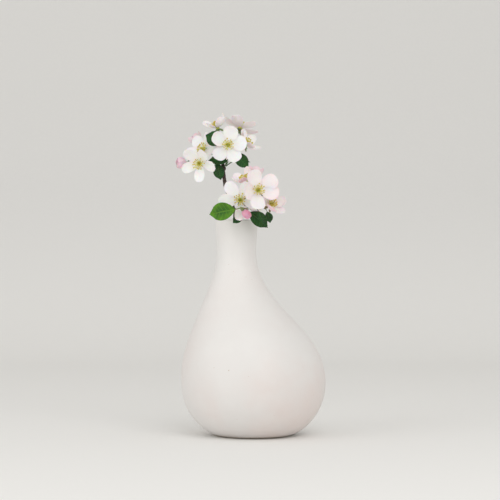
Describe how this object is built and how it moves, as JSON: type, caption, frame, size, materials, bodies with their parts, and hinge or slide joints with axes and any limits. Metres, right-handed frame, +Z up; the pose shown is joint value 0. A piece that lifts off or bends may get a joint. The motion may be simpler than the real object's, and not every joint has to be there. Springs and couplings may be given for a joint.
{
  "type": "bud vase",
  "caption": "Round-bellied ceramic bud vase whose narrow neck leans to one side, holding two lift-out sprigs of apple blossom.",
  "frame": {"origin": "centre of the foot, on the surface that the vase stands on", "axes": "+Z up, -Y to the front, the neck leans towards -X"},
  "size_m": [0.1409, 0.1342, 0.3016],
  "materials": {
    "matt_white_ceramic": "matt, slightly pink at the base",
    "dark_bark": "rough bark",
    "green_stalk": null,
    "yellow_stamens": null,
    "blossom_petals": null,
    "pink_bud_petals": null,
    "green_leaf": null,
    "bright_leaf": null
  },
  "bodies": {
    "vase": {"vase_body": "matt_white_ceramic"},
    "tall_sprig": {"tall_branch": "dark_bark", "tall_flower_1_petals": "blossom_petals", "tall_flower_1_stamens": "yellow_stamens", "tall_flower_1_stalk": "green_stalk", "tall_flower_2_petals": "blossom_petals", "tall_flower_2_stamens": "yellow_stamens", "tall_flower_2_stalk": "green_stalk", "tall_flower_3_petals": "blossom_petals", "tall_flower_3_stamens": "yellow_stamens", "tall_flower_3_stalk": "green_stalk", "tall_flower_4_petals": "blossom_petals", "tall_flower_4_stamens": "yellow_stamens", "tall_flower_4_stalk": "green_stalk", "tall_flower_5_petals": "blossom_petals", "tall_flower_5_stamens": "yellow_stamens", "tall_flower_5_stalk": "green_stalk", "tall_flower_6_petals": "blossom_petals", "tall_flower_6_stamens": "yellow_stamens", "tall_flower_6_stalk": "green_stalk", "tall_flower_7_petals": "blossom_petals", "tall_flower_7_stamens": "yellow_stamens", "tall_flower_7_stalk": "green_stalk", "tall_opening_bud_petals": "blossom_petals", "tall_opening_bud_stalk": "green_stalk", "tall_pink_bud_petals": "pink_bud_petals", "tall_pink_bud_stalk": "green_stalk", "tall_leaf_1": "green_leaf", "tall_leaf_2": "green_leaf", "tall_leaf_3": "green_leaf", "tall_leaf_4": "green_leaf", "tall_leaf_5": "green_leaf"},
    "short_sprig": {"short_branch": "dark_bark", "short_flower_1_petals": "blossom_petals", "short_flower_1_stamens": "yellow_stamens", "short_flower_1_stalk": "green_stalk", "short_flower_2_petals": "blossom_petals", "short_flower_2_stamens": "yellow_stamens", "short_flower_2_stalk": "green_stalk", "short_flower_3_petals": "blossom_petals", "short_flower_3_stamens": "yellow_stamens", "short_flower_3_stalk": "green_stalk", "short_flower_4_petals": "blossom_petals", "short_flower_4_stamens": "yellow_stamens", "short_flower_4_stalk": "green_stalk", "short_flower_5_petals": "blossom_petals", "short_flower_5_stamens": "yellow_stamens", "short_flower_5_stalk": "green_stalk", "short_opening_bud_petals": "blossom_petals", "short_opening_bud_stalk": "green_stalk", "short_pink_bud_petals": "pink_bud_petals", "short_pink_bud_stalk": "green_stalk", "short_leaf_1": "bright_leaf", "short_leaf_2": "green_leaf", "short_leaf_3": "green_leaf", "short_leaf_4": "green_leaf", "short_leaf_5": "green_leaf"}
  },
  "joints": [
    {"name": "tall_sprig_lift", "type": "slide", "parent": "vase", "child": "tall_sprig", "axis": [-0.1875, 0.0831, 0.9788], "range_m": [0, 0.205]},
    {"name": "short_sprig_lift", "type": "slide", "parent": "vase", "child": "short_sprig", "axis": [0.0289, -0.0846, 0.996], "range_m": [0, 0.205]}
  ]
}
